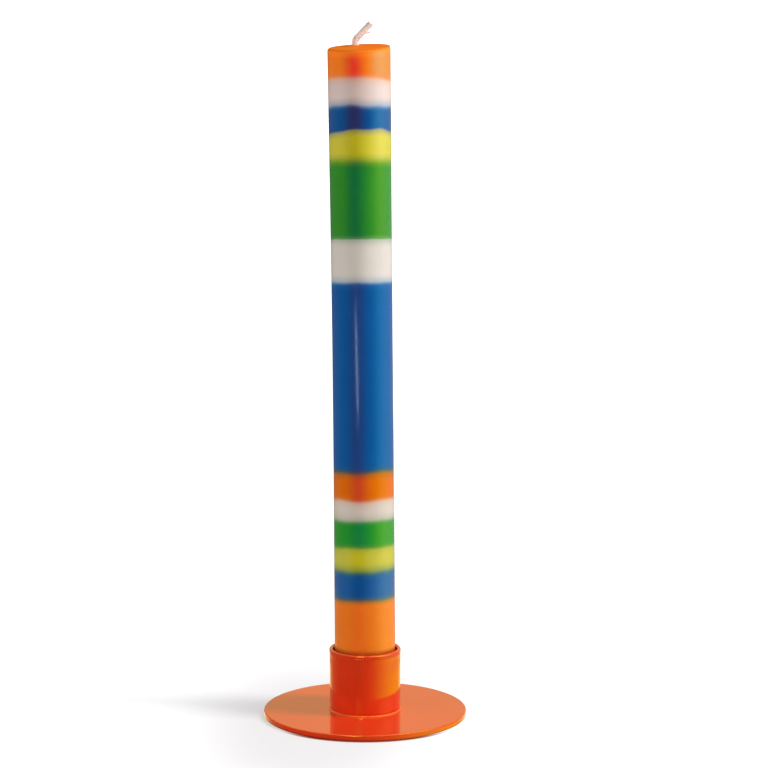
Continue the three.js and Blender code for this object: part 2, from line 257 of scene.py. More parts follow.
# Node helpers
class Nodes:
    """Adds nodes to a material's or the world's tree and links them by short calls."""

    def __init__(self, tree):
        self.tree = tree

    def add(self, kind, inputs=None, **settings):
        node = self.tree.nodes.new(kind)
        for key, value in settings.items():
            setattr(node, key, value)
        for key, value in (inputs or {}).items():
            self.put(node.inputs[key], value)
        return node

    def put(self, socket, value):
        if isinstance(value, bpy.types.NodeSocket):
            self.tree.links.new(value, socket)
        else:
            socket.default_value = value

    def math(self, operation, a, b=0.0, c=0.0):
        node = self.add("ShaderNodeMath", operation=operation)
        for socket, value in zip(node.inputs, (a, b, c)):
            self.put(socket, value)
        return node.outputs[0]

    def vector(self, operation, a, b=(0, 0, 0)):
        node = self.add("ShaderNodeVectorMath", operation=operation)
        self.put(node.inputs[0], a)
        self.put(node.inputs[1], b)
        number = operation in ("DOT_PRODUCT", "LENGTH", "DISTANCE")
        return node.outputs["Value" if number else "Vector"]

    def axes(self, vector):
        return self.add("ShaderNodeSeparateXYZ", {"Vector": vector}).outputs

    def map(self, value, low, high, to_low=0.0, to_high=1.0, smooth=True):
        kind = "SMOOTHSTEP" if smooth else "LINEAR"
        sockets = {"Value": value, "From Min": low, "From Max": high,
                   "To Min": to_low, "To Max": to_high}
        return self.add("ShaderNodeMapRange", sockets, interpolation_type=kind).outputs["Result"]

    def mix(self, factor, a, b):
        node = self.add("ShaderNodeMix", data_type="RGBA")
        self.put(node.inputs[0], factor)
        self.put(node.inputs[6], a)
        self.put(node.inputs[7], b)
        return node.outputs[2]

    def blend(self, factor, a, b):
        """Mixes two numbers, as mix does two colours."""
        return self.add("ShaderNodeMix", {0: factor, 2: a, 3: b}, data_type="FLOAT").outputs[0]

    def ramp(self, share, stops, interpolation="LINEAR"):
        """The colour at a share from 0 to 1, from stops of a place and a colour."""
        node = self.add("ShaderNodeValToRGB", {"Fac": share})
        node.color_ramp.interpolation = interpolation
        elements = node.color_ramp.elements
        for number, (place, tint) in enumerate(stops):
            last = number == len(stops) - 1
            element = elements[0] if number == 0 else elements[-1] if last else elements.new(place)
            element.position = place
            element.color = (*tint, 1)
        return node.outputs["Color"]

    def noise(self, position, scale, detail):
        sockets = {"Vector": position, "Scale": scale, "Detail": detail}
        return self.add("ShaderNodeTexNoise", sockets).outputs["Fac"]

    def bump(self, shader, height, strength, distance):
        sockets = {"Strength": strength, "Distance": distance, "Height": height}
        node = self.add("ShaderNodeBump", sockets)
        self.put(shader.inputs["Normal"], node.outputs["Normal"])


def colour(red, green, blue):
    """A shader colour from eight-bit sRGB values."""
    def linear(value):
        share = value / 255
        return share / 12.92 if share <= 0.04045 else ((share + 0.055) / 1.055) ** 2.4
    return (linear(red), linear(green), linear(blue), 1.0)


def new_material(name):
    material = bpy.data.materials.new(name)
    material.use_nodes = True
    tree = material.node_tree
    nodes = Nodes(tree)
    shader = tree.nodes["Principled BSDF"]
    position = nodes.add("ShaderNodeTexCoord").outputs["Object"]
    return material, nodes, shader, position


# Stage
def facing(nodes, direction, azimuth):
    """How far a direction points to an azimuth in degrees, counted from the camera to the right."""
    turn = math.radians(azimuth)
    return nodes.vector("DOT_PRODUCT", direction, (math.sin(turn), -math.cos(turn), 0))


def sides_seen(nodes, direction, low):
    """Strength of what is mirrored from each azimuth, as the candle sees it and, where low is 1, as
    the collar does."""
    parts = nodes.axes(direction)
    azimuth = nodes.math("ARCTAN2", parts["X"], nodes.math("MULTIPLY", parts["Y"], -1.0))
    share = nodes.math("MULTIPLY_ADD", azimuth, 0.5 / math.pi, 0.5)
    stops = [(degrees / 360 + 0.5, (candle / GLOSS_SCALE, collar / GLOSS_SCALE, 0))
             for degrees, candle, collar in GLOSS_AROUND]
    around = nodes.ramp(share, stops, "B_SPLINE")
    around = nodes.add("ShaderNodeSeparateColor", {"Color": around}).outputs
    return nodes.blend(low, around["Red"], around["Green"])


def seen_in_gloss(nodes, direction, height):
    """Strength and colour of what the gloss mirrors: softbox at the right, reflector at the left,
    wall, ceiling and lamps."""
    behind = facing(nodes, direction, 180)
    low = nodes.math("MULTIPLY", nodes.map(height, *COLLAR_SEES_BELOW, 1.0, 0.0),
                     nodes.map(height, *COLLAR_SEES_ABOVE))
    sides = sides_seen(nodes, direction, low)
    upright = nodes.map(height, *SIDES_HEIGHT, GLOSS_SCALE, 0.0)
    wall = nodes.math("MULTIPLY", nodes.map(height, *WALL_HEIGHT), nodes.map(behind, *WALL_EDGE))
    back = nodes.math("MULTIPLY", low, nodes.map(behind, *BACK_EDGE))
    ceiling = nodes.map(height, *CEILING_HEIGHT)
    level = nodes.vector("NORMALIZE", nodes.vector("MULTIPLY", direction, (1, 1, 0)))
    high = nodes.map(height, *LAMP_HEIGHT)
    lamp = nodes.map(facing(nodes, level, LAMP_AZIMUTH), *LAMP_EDGE)
    lamp = nodes.math("MULTIPLY", lamp, high)
    small_lamp = nodes.map(facing(nodes, level, SMALL_LAMP_AZIMUTH), *SMALL_LAMP_EDGE)
    small_lamp = nodes.math("MULTIPLY", small_lamp, high)
    strength = nodes.math("MULTIPLY", sides, upright)
    for part, seen in ((wall, WALL_SEEN), (back, BACK_SEEN), (ceiling, CEILING_SEEN),
                       (lamp, LAMP_SEEN), (small_lamp, SMALL_LAMP_SEEN)):
        strength = nodes.math("MULTIPLY_ADD", part, seen, strength)
    right = nodes.map(facing(nodes, direction, 90), *RIGHT_EDGE)
    hue = nodes.mix(low, WHITE, nodes.mix(right, LOW_LEFT_COLOUR, LOW_RIGHT_COLOUR))
    hue = nodes.mix(back, hue, BACK_COLOUR)
    return strength, nodes.mix(wall, hue, WALL_COLOUR)


def make_world():
    world = bpy.data.worlds.new("studio")
    bpy.context.scene.world = world
    world.use_nodes = True
    nodes = Nodes(world.node_tree)
    background = world.node_tree.nodes["Background"]
    rays = nodes.add("ShaderNodeLightPath").outputs
    glossy, camera = rays["Is Glossy Ray"], rays["Is Camera Ray"]
    direction = nodes.add("ShaderNodeTexCoord").outputs["Generated"]
    height = nodes.axes(direction)["Z"]
    seen, seen_colour = seen_in_gloss(nodes, direction, height)

    # What lights the matt surfaces
    bounce = nodes.map(facing(nodes, direction, BOUNCE_AZIMUTH), *BOUNCE_EDGE)
    overhead = nodes.map(height, *OVERHEAD_HEIGHT)
    given = nodes.math("MULTIPLY_ADD", bounce, BOUNCE_GIVEN, ROOM_GIVEN)
    given = nodes.math("MULTIPLY_ADD", overhead, CEILING_GIVEN, given)

    strength = nodes.blend(camera, nodes.blend(glossy, given, seen), 1.0)
    nodes.put(background.inputs["Strength"], strength)
    hue = nodes.mix(glossy, WHITE, seen_colour)
    nodes.put(background.inputs["Color"], nodes.mix(camera, hue, WHITE))


def make_floor():
    bpy.ops.mesh.primitive_circle_add(vertices=96, radius=FLOOR_RADIUS, fill_type="NGON",
                                      location=(0, 0, 0))
    floor = bpy.context.object
    floor.name = "floor"
    material, nodes, shader, position = new_material("pale_floor")
    shader.inputs["Roughness"].default_value = 0.9
    shader.inputs["Specular IOR Level"].default_value = 0.0
    # Painted shade round the plate: the floor glows less for the camera inside the oval, and the glow
    # past its edge is painted light over the candle's cast shadow
    off_centre = nodes.vector("SUBTRACT", position, SHADE_OVAL_CENTRE)
    off_centre = nodes.vector("MULTIPLY", off_centre, (1 / SHADE_OVAL_WIDTH, 1 / SHADE_OVAL_DEPTH, 1))
    distance = nodes.vector("LENGTH", off_centre)
    glow = nodes.map(distance, *SHADE_OVAL_EDGE, 0.0, FLOOR_GLOW)
    glow = nodes.math("ADD", glow, nodes.map(distance, *OVAL_FAR, FLOOR_GLOW_ALL_OVER, 1.0))
    # Painted contact shadow: a thin dark line on the floor along the front of the plate's edge,
    # without glow, for the camera alone
    near, far = [(PLATE_RADIUS + reach) * MM for reach in CONTACT_SHADOW_REACH_MM]
    contact_shadow = nodes.map(nodes.vector("LENGTH", position), near, far, 1.0, 0.0)
    front = nodes.map(nodes.axes(position)["Y"], *CONTACT_SHADOW_FRONT)
    contact_shadow = nodes.math("MULTIPLY", contact_shadow, front)
    glow = nodes.math("MULTIPLY", glow, nodes.math("SUBTRACT", 1.0, contact_shadow))
    camera = nodes.add("ShaderNodeLightPath").outputs["Is Camera Ray"]
    seen = nodes.mix(contact_shadow, FLOOR_SEEN_COLOUR, CONTACT_SHADOW_COLOUR)
    nodes.put(shader.inputs["Base Color"], nodes.mix(camera, FLOOR_COLOUR, seen))
    shader.inputs["Emission Color"].default_value = WHITE
    nodes.put(shader.inputs["Emission Strength"], nodes.math("MULTIPLY", glow, camera))
    floor.data.materials.append(material)
    floor.visible_glossy = False


def area_light(name, location, target, width, tall, radiance, tint=(1, 1, 1), roll=0.0):
    """A rectangular lamp that faces a target, turned by a roll about the way it faces."""
    data = bpy.data.lights.new(name, "AREA")
    data.shape = "RECTANGLE"
    data.size = width
    data.size_y = tall
    data.energy = radiance * math.pi * width * tall
    data.color = tint
    light = bpy.data.objects.new(name, data)
    light.location = location
    facing_target = (Vector(location) - Vector(target)).to_track_quat("Z", "Y").to_matrix()
    light.rotation_euler = (facing_target @ Matrix.Rotation(roll, 3, "Z")).to_euler()
    bpy.context.collection.objects.link(light)
    light.visible_camera = False
    return light


def make_lights():
    across = KEY_DISTANCE * math.cos(KEY_RISE)
    high = KEY_DISTANCE * math.sin(KEY_RISE) + KEY_TARGET[2]
    place = (across * math.sin(KEY_AZIMUTH), -across * math.cos(KEY_AZIMUTH), high)
    key = area_light("key", place, KEY_TARGET, *KEY_SIZE, KEY_RADIANCE)
    key.visible_glossy = False
    streak = area_light("streak", STREAK_PLACE, STREAK_TARGET, *STREAK_SIZE, STREAK_RADIANCE,
                        STREAK_TINT, STREAK_ROLL)
    streak.visible_diffuse = False


# Mesh helpers
def new_piece(name, vertices, faces, material, body, replaced):
    mesh = bpy.data.meshes.new(name)
    mesh.from_pydata([tuple(v) for v in vertices], [], faces)
    mesh.update()
    mesh.shade_smooth()
    mesh.materials.append(material)
    piece = bpy.data.objects.new(name, mesh)
    bpy.context.collection.objects.link(piece)
    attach(piece, body)
    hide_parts(*replaced)
    return piece


def weighted_normals(piece):
    modifier = piece.modifiers.new("even_normals", "WEIGHTED_NORMAL")
    modifier.weight = 50
    modifier.keep_sharp = True


def arc(x, z, radius, start, end, steps):
    angles = np.linspace(start, end, steps + 1)
    return [(x + radius * math.cos(a), z + radius * math.sin(a)) for a in angles]


def ring_quads(first, rings, steps):
    """Faces between rings of vertices that follow one another from a first vertex."""
    quads = []
    for ring in range(rings - 1):
        low = first + ring * steps
        high = low + steps
        for step in range(steps):
            turn = (step + 1) % steps
            quads.append((low + step, low + turn, high + turn, high + step))
    return quads


def tube_faces(first, rings, steps):
    """The same with a face over each end."""
    last = first + (rings - 1) * steps
    return ring_quads(first, rings, steps) + [
        tuple(reversed(range(first, first + steps))), tuple(range(last, last + steps))]


def turned(outline, steps, closed):
    """Vertices and faces of a solid turned about Z from (radius, height) points in millimetres.
    closed joins the outline's end to its start; otherwise both ends lie on the axis."""
    vertices = []
    rows = outline if closed else outline[1:-1]
    for radius, height in rows:
        for step in range(steps):
            angle = 2 * math.pi * step / steps
            vertices.append(round_axis(radius, angle, height))
    faces = ring_quads(0, len(rows), steps)
    last = (len(rows) - 1) * steps
    bottom, top = len(vertices), len(vertices) + 1
    if not closed:
        vertices += [Vector((0, 0, outline[0][1])) * MM, Vector((0, 0, outline[-1][1])) * MM]
    for step in range(steps):
        turn = (step + 1) % steps
        if closed:
            faces.append((last + step, last + turn, turn, step))
        else:
            faces += [(bottom, turn, step), (top, last + step, last + turn)]
    return vertices, faces


def round_axis(radius, angle, height):
    """A point about Z in metres, from a radius and a height in millimetres."""
    return Vector((radius * math.cos(angle), radius * math.sin(angle), height)) * MM


# Stand
def paint_material(name, roughness=PAINT_ROUGHNESS, redness=1.0):
    material, nodes, shader, position = new_material(name)
    patches = nodes.noise(position, 25, 3)
    # Where redness is below 1, as on the weld, the more orange colour is a painted highlight
    shades = [(red, green / redness, blue, 1) for red, green, blue in PAINT_COLOURS]
    tint = nodes.mix(nodes.map(patches, 0.35, 0.65), *shades)
    # Painted shade: the paint is darker at the bottom of the plate's edge, where it faces the floor
    underside_shade = nodes.map(nodes.axes(position)["Z"], *UNDERSIDE_SHADE_HEIGHT, 1.0, 0.0)
    nodes.put(shader.inputs["Base Color"], nodes.mix(underside_shade, tint, UNDERSIDE_SHADE_COLOUR))
    shader.inputs["Specular Tint"].default_value = PAINT_GLOSS_TINT
    fine = nodes.noise(position, 600, 1)
    nodes.put(shader.inputs["Roughness"], nodes.map(fine, 0.3, 0.7, *roughness))
    nodes.bump(shader, nodes.noise(position, 160, 2), 0.025, 0.0004)
    return material


def make_plate(material):
    edge = PLATE_EDGE_RADIUS
    inner = PLATE_RADIUS - edge
    support = 0.15
    lower = PLATE_LOWER_RADIUS
    outline = [(0, 0), (inner / 2, 0), (PLATE_RADIUS - lower - support, 0)]
    outline += arc(PLATE_RADIUS - lower, lower, lower, -math.pi / 2, 0, 5)
    outline += arc(inner, PLATE_TOP - edge, edge, 0, math.pi / 2, 8)
    outline += [(inner - support, PLATE_TOP)]
    outline += [(inner * share, PLATE_TOP) for share in (0.9, 0.75, 0.6, 0.45, 0.3, 0.15)]
    outline += [(0, PLATE_TOP)]
    vertices, faces = turned(outline, PLATE_STEPS, False)
    piece = new_piece("painted_plate", vertices, faces, material, "stand",
                      ["base_plate"])
    weighted_normals(piece)


def make_collar(material):
    rim = (COLLAR_WALL + LIP_PROUD + LIP_ROLLED_IN) / 2
    centre = COLLAR_RADIUS + LIP_PROUD - rim
    foot = PLATE_TOP + 0.01
    heights = np.linspace(foot, COLLAR_TOP - LIP_HEIGHT - 0.1, 12)
    outline = [(COLLAR_RADIUS, z) for z in heights]
    outline += [(COLLAR_RADIUS + proud, COLLAR_TOP - drop) for drop, proud in LIP_RIDGE]
    outline += arc(centre, COLLAR_TOP - rim, rim, 0, math.pi, 20)
    outline += [(COLLAR_BORE, z) for z in heights[::-1]]
    vertices, faces = turned(outline, COLLAR_STEPS, True)
    piece = new_piece("painted_collar", vertices, faces, material, "stand",
                      ["collar_tube"])
    weighted_normals(piece)


def make_weld(material):
    """The fillet round the collar's foot, a little uneven as hand welding is, with the lump where
    it starts and ends."""
    vertices, faces = [], []
    for step in range(WELD_STEPS):
        angle = 2 * math.pi * step / WELD_STEPS
        wobble = noise.noise(Vector((3 * math.cos(angle), 3 * math.sin(angle), 5)))
        leg = WELD_LEG * (1 + WELD_UNEVENNESS * wobble)
        outline = [(COLLAR_RADIUS - WELD_SUNK, PLATE_TOP - WELD_SUNK),
                   (COLLAR_RADIUS + leg, PLATE_TOP - WELD_SUNK)]
        outline += arc(COLLAR_RADIUS, PLATE_TOP, leg, 0, math.pi / 2, WELD_ROWS)
        outline += [(COLLAR_RADIUS - WELD_SUNK, PLATE_TOP + leg)]
        vertices += [round_axis(radius, angle, height) for radius, height in outline]
    size = len(vertices) // WELD_STEPS
    for step in range(WELD_STEPS):
        following = (step + 1) % WELD_STEPS
        for row in range(size):
            onward = (row + 1) % size
            faces.append((step * size + row, following * size + row,
                          following * size + onward, step * size + onward))
    add_weld_start(vertices, faces)
    new_piece("painted_weld", vertices, faces, material, "stand", ["weld_bead"])


def add_weld_start(vertices, faces):
    """The lump, a low half of an egg that points outwards from the collar."""
    across, deep, high = WELD_START_WIDTH / 2, WELD_START_DEPTH / 2, WELD_START_HEIGHT
    middle = COLLAR_RADIUS + WELD_TOE + deep
    outward = Vector((math.cos(WELD_START_ANGLE), math.sin(WELD_START_ANGLE), 0))
    along = Vector((-outward.y, outward.x, 0))
    first, steps, rows = len(vertices), 36, 12
    for row in range(rows):
        rise = math.pi / 2 * row / rows
        for step in range(steps):
            angle = 2 * math.pi * step / steps
            side = across * math.cos(rise) * math.cos(angle)
            reach = middle + deep * math.cos(rise) * math.sin(angle)
            level = high * math.sin(rise)
            uneven = 1 + WELD_START_UNEVENNESS * noise.noise(Vector((side, reach, level)) * 1.5)
            point = outward * reach + along * (side * uneven)
            point.z = PLATE_TOP - WELD_START_SUNK + level * uneven
            vertices.append(point * MM)
    top = outward * middle
    top.z = PLATE_TOP - WELD_START_SUNK + high
    vertices.append(top * MM)
    faces += ring_quads(first, rows, steps)
    last = first + (rows - 1) * steps
    for step in range(steps):
        faces.append((last + step, last + (step + 1) % steps, len(vertices) - 1))
    faces.append(tuple(reversed(range(first, first + steps))))


# Candle
def centre_x(z):
    share = min(max(z / CANDLE_LENGTH, 0), 1)
    return BOW * (1 - (2 * share - 1) ** 2)


def wick_x(z):
    share = min(max(z / CANDLE_LENGTH, 0), 1)
    return centre_x(z) + WICK_SHIFT * share


def wax_radius(z):
    below = z < WAIST_HEIGHT
    end = 0 if below else CANDLE_LENGTH
    end_radius = FOOT_RADIUS if below else TOP_RADIUS
    share = abs((z - WAIST_HEIGHT) / (end - WAIST_HEIGHT)) ** WAIST_POWER
    return WAIST_RADIUS + (end_radius - WAIST_RADIUS) * share


CANDLE_FOOT = Vector((FOOT_SHIFT, 0, PLATE_TOP + SEAT_GAP))
CANDLE_TURN = Matrix.Rotation(-LEAN, 3, "Y")
CANDLE_AXIS = CANDLE_TURN @ Vector((0, 0, 1))


def placed(x, y, z):
    """A point of the candle's own upright frame, set leaning in the collar, in metres."""
    return (CANDLE_FOOT + CANDLE_TURN @ Vector((x, y, z))) * MM


def pour_face(lower_node, upper_node):
    """The flat face between two layers, from the corners that both solids have: its normal and its
    distance from the origin in metres."""
    corners = []
    for name in (lower_node, upper_node):
        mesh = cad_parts[name].data
        corners.append({tuple(round(c, 6) for c in vertex.co) for vertex in mesh.vertices})
    shared = np.array(sorted(corners[0] & corners[1]))
    middle = shared.mean(axis=0)
    normal = np.linalg.svd(shared - middle)[2][2]
    normal *= math.copysign(1, normal[2])
    return Vector(normal), float(normal @ middle)


def flat_face(height):
    """A level face square to the candle's axis."""
    middle = placed(centre_x(height), 0, height)
    return CANDLE_AXIS.copy(), CANDLE_AXIS.dot(middle)


def wax_height(angle, face):
    """The height in the candle's frame at which the wax surface meets a face at an angle."""
    normal, offset = face
    z = (offset / MM - normal.dot(CANDLE_FOOT)) / normal.dot(CANDLE_AXIS)
    for _ in range(5):
        reach = wax_radius(z)
        point = placed(centre_x(z) + reach * math.cos(angle), reach * math.sin(angle), z)
        z -= ((normal.dot(point) - offset) / MM) / normal.dot(CANDLE_AXIS)
    return z


# Colour of each pour, tint of its gloss, its painted shade at the front left, a deeper colour where
# the wax looks darkest under this light, and its gloss level, from the foot up
POURS = [
    ((0.852, 0.185, 0.008), (0.03, 0.93, 0.44), (0.922, 0.157, 0.007), 0.5),
    ((0.011, 0.104, 0.324), (0.53, 0.75, 1.00), (0.002, 0.076, 0.284), 0.5),
    ((0.568, 0.522, 0.050), (1.00, 0.61, 0.56), (0.588, 0.525, 0.009), 0.5),
    ((0.011, 0.287, 0.027), (1.00, 1.00, 0.02), (0.002, 0.243, 0.053), 0.5),
    ((0.643, 0.558, 0.473), (0.02, 0.02, 0.30), (0.658, 0.547, 0.457), 0.5),
    ((0.733, 0.129, 0.002), (0.39, 1.00, 0.02), (0.693, 0.059, 0.015), 0.5),
    ((0.003, 0.087, 0.313), (0.14, 0.88, 1.00), (0.015, 0.052, 0.223), 0.5),
    ((0.679, 0.620, 0.540), (0.02, 0.03, 0.57), (0.649, 0.593, 0.499), 0.5),
    ((0.022, 0.255, 0.023), (0.97, 1.00, 0.02), (0.002, 0.174, 0.045), 0.5),
    ((0.630, 0.547, 0.025), (0.90, 0.93, 1.00), (0.563, 0.480, 0.002), 0.75),
    ((0.002, 0.067, 0.268), (0.24, 0.96, 1.00), (0.028, 0.025, 0.122), 0.9),
    ((0.770, 0.591, 0.523), (0.02, 0.64, 0.98), (0.725, 0.542, 0.460), 0.9),
    ((1.000, 0.200, 0.002), (0.03, 1.00, 1.00), (1.000, 0.045, 0.006), 1.0),
]
# Middle and reach round the candle of the painted shade at the front left
FRONT_SHADE_MIDDLE = math.radians(-10)
FRONT_SHADE_REACH = math.radians(28)
WAX_ROUGHNESS = (0.17, 0.23)

# The last pour, by heights in metres from the top, by facings upwards and by angles from the front:
# where its painted shade at the front left ends, where painted light stands for light coming through
# the wax, its right side painted as shade, its top face painted darker as shade for the light it
# catches, its dull top and the gloss of its wall
LAST_FRONT_SHADE = (-0.0042, 0.0003)
LAST_PAINTED_LIGHT = (-0.0036, -0.0014)
LAST_RIGHT_SHADE_COLOUR = (0.73, 0.225, 0.003, 1)
LAST_RIGHT_SHADE = (math.radians(5), math.radians(40))
TOP_PAINTED_SHADE_COLOUR = (0.70, 0.160, 0.013, 1)
TOP_PAINTED_SHADE_FACING = (0.08, 0.6)
DULL_FACING = (0.02, 0.3)
DULL_ROUGHER = 0.3
LAST_GLOSS = (math.radians(-50), math.radians(30))

# Painted shade, tinted red as a painted reflection of the collar, where the wax meets the collar's
# rim, with its reach about the rim in millimetres
RIM_SHADE = 0.65
RIM_SHADE_COLOUR = (0.45, 0.05, 0.006, 1)
RIM_SHADE_ABOVE = (0.2, 2.0)
RIM_SHADE_BELOW = (-2.0, -0.8)

# Seams from the foot up: lift of the seam in millimetres, its two ripples (size in millimetres,
# count round the candle, phase in degrees) and its softness (half width of the narrow step, share
# of that step, reach of the wide step upwards and downwards in millimetres, share of mixing in the
# depth)
SEAMS = [
    (0.24, ((0.07, 2, -101), (0.06, 9, 123)), (0.73, 0.38, 2.59, 2.43, 0.94)),
    (-0.14, ((0.07, 4, -162), (0.07, 9, -81)), (1.23, 0.49, 4.04, 2.64, 1.0)),
    (-0.01, ((0.14, 4, -137), (0.05, 9, 53)), (0.78, 0.57, 2.40, 3.39, 0.04)),
    (0.27, ((0.14, 2, -39), (0.06, 3, 68)), (0.94, 0.49, 3.61, 2.01, 0.06)),
    (0.20, ((0.31, 2, -18), (0.27, 4, 161)), (0.94, 0.67, 2.19, 3.12, 0.7)),
    (0.25, ((0.26, 2, -21), (0.26, 4, 147)), (1.06, 0.59, 3.57, 3.77, 1.0)),
    (0.0, ((0.07, 3, -90), (0.05, 6, -21)), (0.92, 0.64, 3.76, 2.82, 1.0)),
    (0.16, ((0.13, 2, -111), (0.03, 4, 85)), (0.27, 0.42, 2.01, 3.52, 0.0)),
    (0.52, ((0.18, 2, -14), (0.07, 7, 15)), (1.47, 0.26, 3.31, 3.17, 0.16)),
    (0.44, ((0.15, 6, -133), (0.12, 7, -52)), (0.51, 0.43, 0.95, 2.90, 0.0)),
    (-0.05, ((0.27, 4, -80), (0.14, 8, -90)), (1.15, 0.59, 4.04, 2.51, 1.0)),
    (0.14, ((0.33, 2, -95), (0.25, 3, 68)), (0.91, 0.61, 2.62, 4.04, 0.5)),
]
# Added to two colours while they mix in the depth, so that a dark one doesn't swallow the other
DEPTH_FLOOR = 0.03
# Number of colours across a seam, and the power that sets them closer together at its middle
SEAM_STOPS = 25
SEAM_STOPS_CLOSER = 1.6


def step_between(value, low, high):
    share = min(max((value - low) / (high - low), 0), 1)
    return share * share * (3 - 2 * share)


def seam_height(nodes, position, face, seam, wobble):
    """Height above a seam in millimetres, with the seam's lift, its ripples and a fine wobble, and
    the angle round the candle there, from its front."""
    normal, offset = face
    lift, ripples, _ = seam
    above = nodes.math("SUBTRACT", nodes.vector("DOT_PRODUCT", position, tuple(normal)), offset)
    above = nodes.math("MULTIPLY_ADD", above, 1 / MM, -lift)
    parts = nodes.axes(position)
    level = (offset / MM - normal.dot(CANDLE_FOOT)) / normal.dot(CANDLE_AXIS)
    sideways = nodes.math("SUBTRACT", parts["X"], placed(centre_x(level), 0, level).x)
    angle = nodes.math("ARCTAN2", sideways, nodes.math("MULTIPLY", parts["Y"], -1.0))
    for size, count, phase in ripples:
        turned_by = nodes.math("MULTIPLY_ADD", angle, float(count), -math.radians(phase))
        above = nodes.math("MULTIPLY_ADD", nodes.math("COSINE", turned_by), -size, above)
    return nodes.math("MULTIPLY_ADD", wobble, 0.5, above), angle


def seam_colour(nodes, above, lower, upper, softness):
    """The colour across a seam, where the two waxes show through one another: partly the dyes running
    together, partly painted light that the translucent wax carries across the seam.
    """
    narrow, sharp, up, down, deep = softness
    reach = max(up, down, narrow) + 0.1
    stops = []
    for stop in range(SEAM_STOPS):
        place = 2 * stop / (SEAM_STOPS - 1) - 1
        height = reach * math.copysign(abs(place) ** SEAM_STOPS_CLOSER, place)
        part = sharp * step_between(height, -narrow, narrow)
        part += (1 - sharp) * step_between(height, -down, up)
        mixed = []
        for a, b in zip(upper, lower):
            through = (a + DEPTH_FLOOR) ** part * (b + DEPTH_FLOOR) ** (1 - part) - DEPTH_FLOOR
            mixed.append((1 - deep) * (part * a + (1 - part) * b) + deep * through)
        stops.append(((height / reach + 1) / 2, mixed))
    return nodes.ramp(nodes.map(above, -reach, reach, smooth=False), stops)


def across_seam(nodes, position, number, face, wobble):
    """What changes across a seam: colour, the deeper colour of the painted shade at the front left,
    tint of the gloss and, where the two pours differ in it, gloss level, with the height above the
    seam and the angle there."""
    lower, upper = POURS[number], POURS[number + 1]
    softness = SEAMS[number][2]
    above, angle = seam_height(nodes, position, face, SEAMS[number], wobble)
    share = nodes.map(above, -1.0, 1.0)
    return {
        "tint": seam_colour(nodes, above, lower[0], upper[0], softness),
        # core is the colour of the painted shade at the front left
        "core": seam_colour(nodes, above, lower[2], upper[2], softness),
        "shine": nodes.mix(share, (*lower[1], 1), (*upper[1], 1)),
        "level": nodes.map(above, -2.0, 2.0, lower[3], upper[3]) if lower[3] != upper[3] else None,
        "above": above,
        "angle": angle,
    }


def painted_rim_shade(nodes, position):
    """Strength of the painted shade and red painted reflection where the wax meets the collar's rim.
    """
    height = nodes.axes(position)["Z"]
    above = [(COLLAR_TOP + reach) * MM for reach in RIM_SHADE_ABOVE]
    below = [(COLLAR_TOP + reach) * MM for reach in RIM_SHADE_BELOW]
    rim_shade = nodes.map(height, *above, RIM_SHADE, 0.0)
    return nodes.math("MULTIPLY", rim_shade, nodes.map(height, *below))


